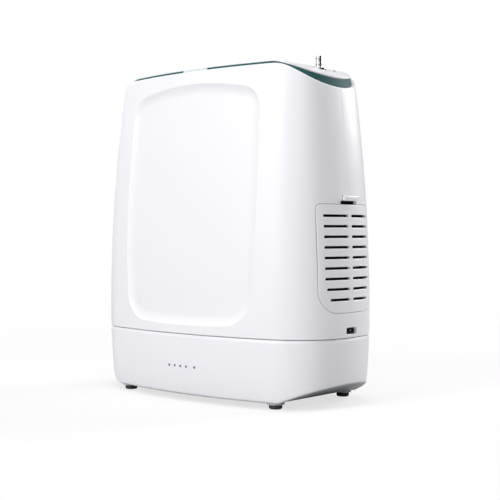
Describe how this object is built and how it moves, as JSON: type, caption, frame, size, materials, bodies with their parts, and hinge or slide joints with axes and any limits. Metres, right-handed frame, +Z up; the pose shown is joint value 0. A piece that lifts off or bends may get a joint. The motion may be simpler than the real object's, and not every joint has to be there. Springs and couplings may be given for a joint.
{
  "type": "portable oxygen concentrator",
  "caption": "Upright portable oxygen concentrator with a slide-off battery base, louvred side vent covers, green trim under the top panel and a barbed oxygen outlet.",
  "frame": {"origin": "centre of the plan at the floor, under the rubber feet", "axes": "+X to the oxygen outlet and intake side, -Y to the front face with the charge lights, +Z up"},
  "size_m": [0.2184, 0.1149, 0.2446],
  "materials": {
    "white_plastic": "satin",
    "light_plastic": "satin",
    "green_plastic": "satin",
    "light_bar": "satin",
    "window_plastic": "polished",
    "circuit_board": "satin",
    "black_plastic": "satin",
    "grey_plastic": "satin",
    "red_lens": "polished",
    "plated_metal": "polished",
    "aluminium": "satin",
    "steel": "satin",
    "clear_tube": "satin",
    "copper_pipe": "satin",
    "black_rubber": "matt",
    "filter_foam": "matt",
    "cell_wrap": "satin"
  },
  "bodies": {
    "battery": {"battery_shell": "white_plastic", "battery_base": "light_plastic", "battery_lid": "grey_plastic", "battery_guides": "grey_plastic", "battery_plug": "black_plastic", "battery_cells": "cell_wrap", "cell_holder": "black_plastic", "battery_board": "circuit_board", "battery_lights": "light_bar", "rubber_feet": "black_rubber"},
    "housing": {"front_shell": "white_plastic", "rear_shell": "white_plastic", "accent_trim": "green_plastic", "status_light": "light_bar", "top_panel": "white_plastic", "display_window": "window_plastic", "display_board": "circuit_board", "keypad_switches": "black_plastic", "indicator_lens": "red_lens", "oxygen_outlet": "plated_metal", "outlet_nut": "plated_metal", "chassis_plate": "grey_plastic", "inner_frame": "grey_plastic", "sieve_columns": "aluminium", "column_caps": "black_plastic", "product_tank": "aluminium", "valve_manifold": "aluminium", "solenoid_valves": "black_plastic", "air_tubes": "clear_tube", "cooling_coil": "copper_pipe", "oxygen_sensor": "black_plastic", "outlet_filter": "white_plastic", "conserver_valve": "grey_plastic", "muffler": "black_plastic", "compressor_base": "steel", "isolator_mounts": "black_rubber", "crankcase": "aluminium", "cylinder_heads": "aluminium", "motor_can": "steel", "fan_frame": "black_plastic", "intake_filter": "filter_foam", "filter_frame": "grey_plastic", "exhaust_frame": "grey_plastic", "main_board": "circuit_board", "board_parts": "black_plastic", "power_inlet": "black_plastic", "inlet_contacts": "plated_metal", "battery_socket": "black_plastic", "housing_screws": "steel"},
    "intake_cover": {"intake_cover": "white_plastic"},
    "exhaust_cover": {"exhaust_cover": "white_plastic"},
    "intake_tab": {"intake_tab": "white_plastic"},
    "exhaust_tab": {"exhaust_tab": "white_plastic"},
    "power_button": {"power_button": "green_plastic"},
    "flow_up_button": {"flow_up_button": "light_plastic"},
    "flow_down_button": {"flow_down_button": "light_plastic"},
    "mute_button": {"mute_button": "light_plastic"},
    "release_button": {"release_button": "light_plastic"},
    "fan_rotor": {"fan_rotor": "black_plastic"},
    "crank_rotor": {"crank_rotor": "steel"}
  },
  "joints": [
    {"name": "housing_lift", "type": "slide", "parent": "battery", "child": "housing", "axis": [0, 0, 1], "range_m": [0, 0.04]},
    {"name": "intake_cover_pull", "type": "slide", "parent": "housing", "child": "intake_cover", "axis": [1, 0, 0], "range_m": [0, 0.012]},
    {"name": "exhaust_cover_pull", "type": "slide", "parent": "housing", "child": "exhaust_cover", "axis": [-1, 0, 0], "range_m": [0, 0.012]},
    {"name": "intake_tab_lift", "type": "slide", "parent": "housing", "child": "intake_tab", "axis": [0, 0, 1], "range_m": [0, 0.002], "stiffness_N_per_m": 600},
    {"name": "exhaust_tab_lift", "type": "slide", "parent": "housing", "child": "exhaust_tab", "axis": [0, 0, 1], "range_m": [0, 0.002], "stiffness_N_per_m": 600},
    {"name": "power_press", "type": "slide", "parent": "housing", "child": "power_button", "axis": [0, 0, -1], "range_m": [0, 0.0008], "stiffness_N_per_m": 1500},
    {"name": "flow_up_press", "type": "slide", "parent": "housing", "child": "flow_up_button", "axis": [0, 0, -1], "range_m": [0, 0.0008], "stiffness_N_per_m": 1500},
    {"name": "flow_down_press", "type": "slide", "parent": "housing", "child": "flow_down_button", "axis": [0, 0, -1], "range_m": [0, 0.0008], "stiffness_N_per_m": 1500},
    {"name": "mute_press", "type": "slide", "parent": "housing", "child": "mute_button", "axis": [0, 0, -1], "range_m": [0, 0.0008], "stiffness_N_per_m": 1500},
    {"name": "release_press", "type": "slide", "parent": "housing", "child": "release_button", "axis": [1, 0, 0], "range_m": [0, 0.0025], "stiffness_N_per_m": 600},
    {"name": "fan_spin", "type": "hinge", "parent": "housing", "child": "fan_rotor", "pos_m": [0.08103, 0, 0.102], "axis": [1, 0, 0], "continuous": true},
    {"name": "crank_spin", "type": "hinge", "parent": "housing", "child": "crank_rotor", "pos_m": [0.00115, 0, 0.0813], "axis": [0, 1, 0], "continuous": true}
  ]
}
